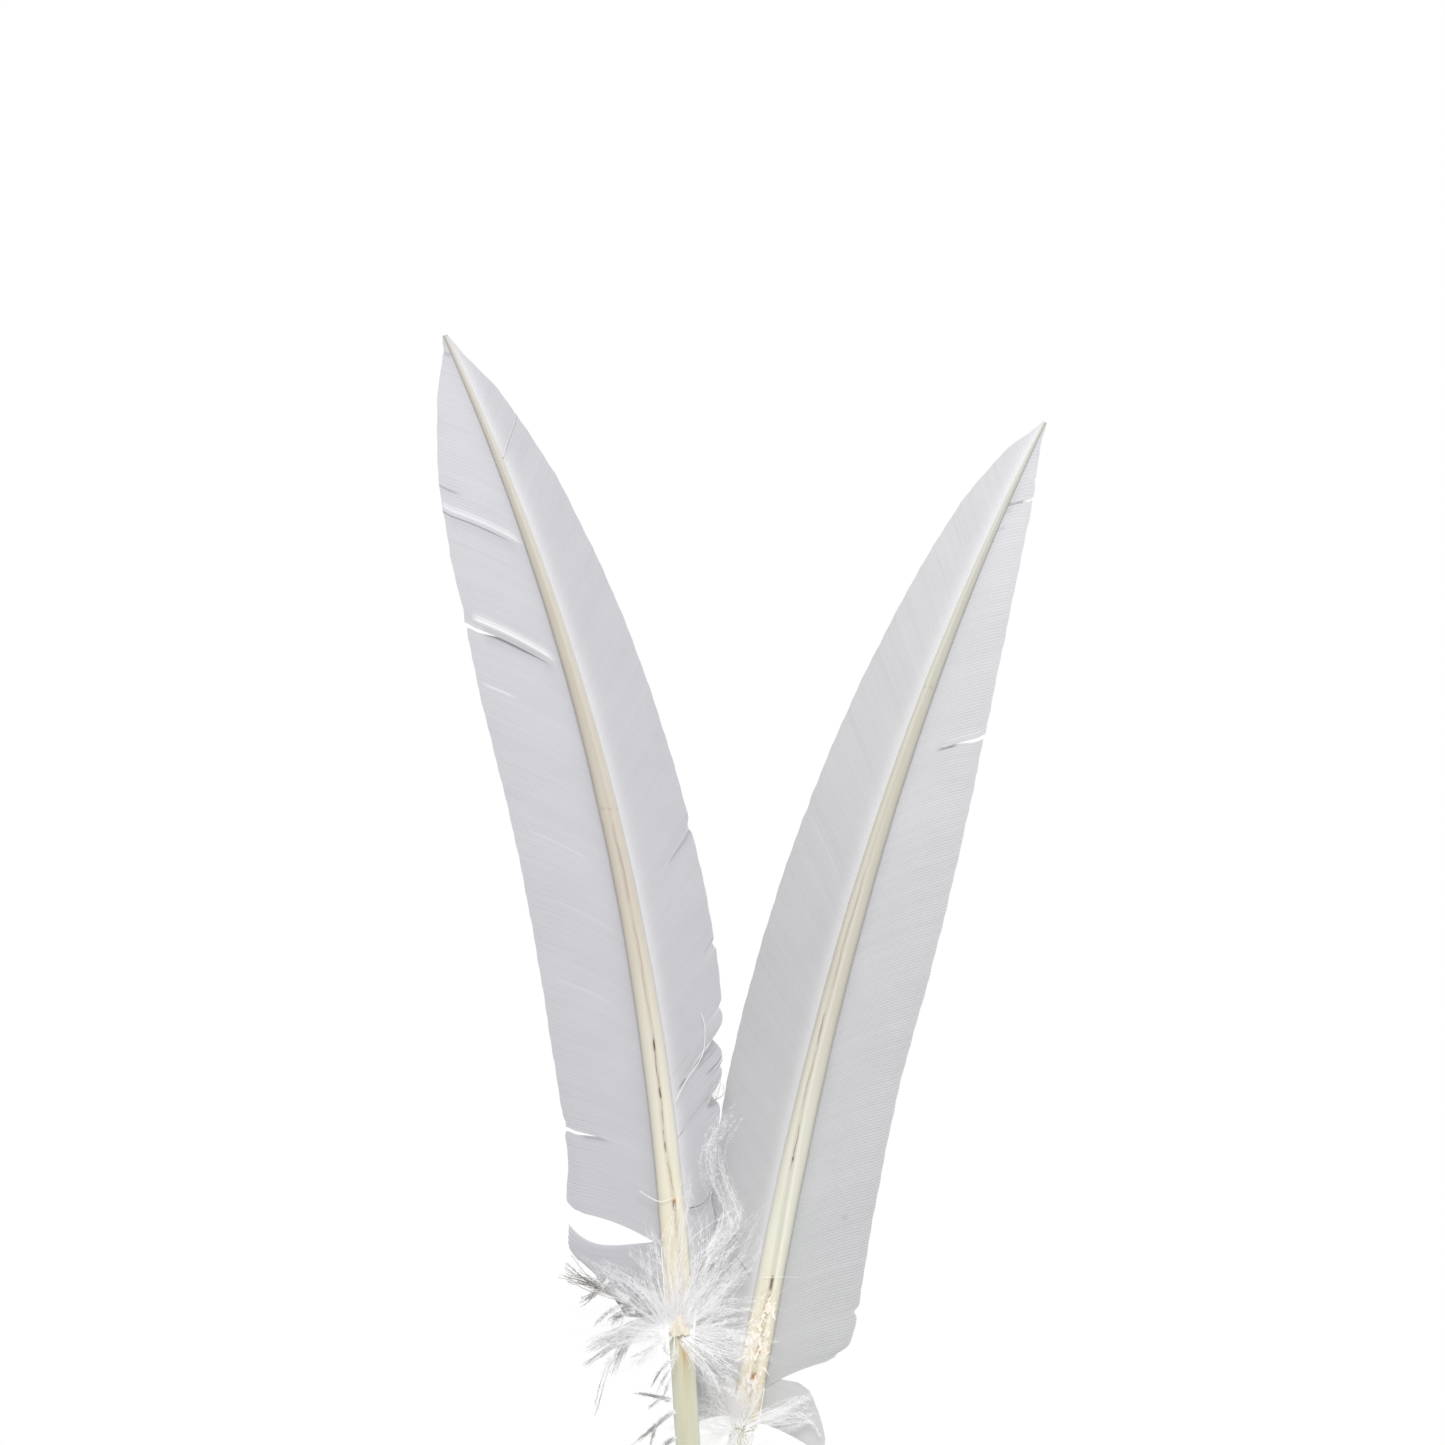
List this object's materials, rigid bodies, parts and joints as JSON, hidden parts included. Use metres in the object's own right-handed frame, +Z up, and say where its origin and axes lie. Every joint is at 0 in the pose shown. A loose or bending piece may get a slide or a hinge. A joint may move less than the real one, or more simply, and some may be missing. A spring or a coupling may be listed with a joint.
{
  "type": "crossed pair of quill pens",
  "caption": "Pair of white wing-feather quill pens crossed at their cut barrels, with split vanes and down at the base.",
  "frame": {"origin": "the barrel seat: midway between the two barrels, a little above the nibs, where a stand or an inkwell's throat holds the pair", "axes": "+Z up towards the feather tips, +X to the right, and the grooved ventral faces look along -Y"},
  "size_m": [0.1468, 0.0419, 0.3481],
  "materials": {
    "barrel_horn": "satin",
    "membrane": "matte",
    "shaft_horn": "satin",
    "pith": "matte",
    "sheath_skin": "matte",
    "vane_barbs": "matte",
    "down": "matte"
  },
  "bodies": {
    "rear_quill": {"rear_barrel": "barrel_horn", "rear_barrel_membrane": "membrane", "rear_shaft": "shaft_horn", "rear_shaft_pith": "pith", "rear_shaft_sheath": "sheath_skin", "rear_inner_vane_tip": "vane_barbs", "rear_inner_vane_upper": "vane_barbs", "rear_inner_vane_lower": "vane_barbs", "rear_inner_vane_lobe": "vane_barbs", "rear_outer_vane_main": "vane_barbs", "rear_outer_vane_base": "vane_barbs", "rear_down_inner": "down", "rear_down_outer": "down", "rear_afterfeather": "down"},
    "front_quill": {"front_barrel": "barrel_horn", "front_barrel_membrane": "membrane", "front_shaft": "shaft_horn", "front_shaft_pith": "pith", "front_umbilicus_sheath": "sheath_skin", "front_inner_vane_tip": "vane_barbs", "front_inner_vane_upper": "vane_barbs", "front_inner_vane_lower": "vane_barbs", "front_inner_vane_lobe": "vane_barbs", "front_outer_vane_tip": "vane_barbs", "front_outer_vane_upper": "vane_barbs", "front_outer_vane_middle": "vane_barbs", "front_outer_vane_torn": "vane_barbs", "front_down_inner": "down", "front_down_outer": "down", "front_afterfeather": "down"}
  },
  "joints": [
    {"name": "front_quill_pull", "type": "slide", "parent": "rear_quill", "child": "front_quill", "axis": [-0.061, -0.0175, 0.998], "range_m": [0, 0.078]}
  ]
}
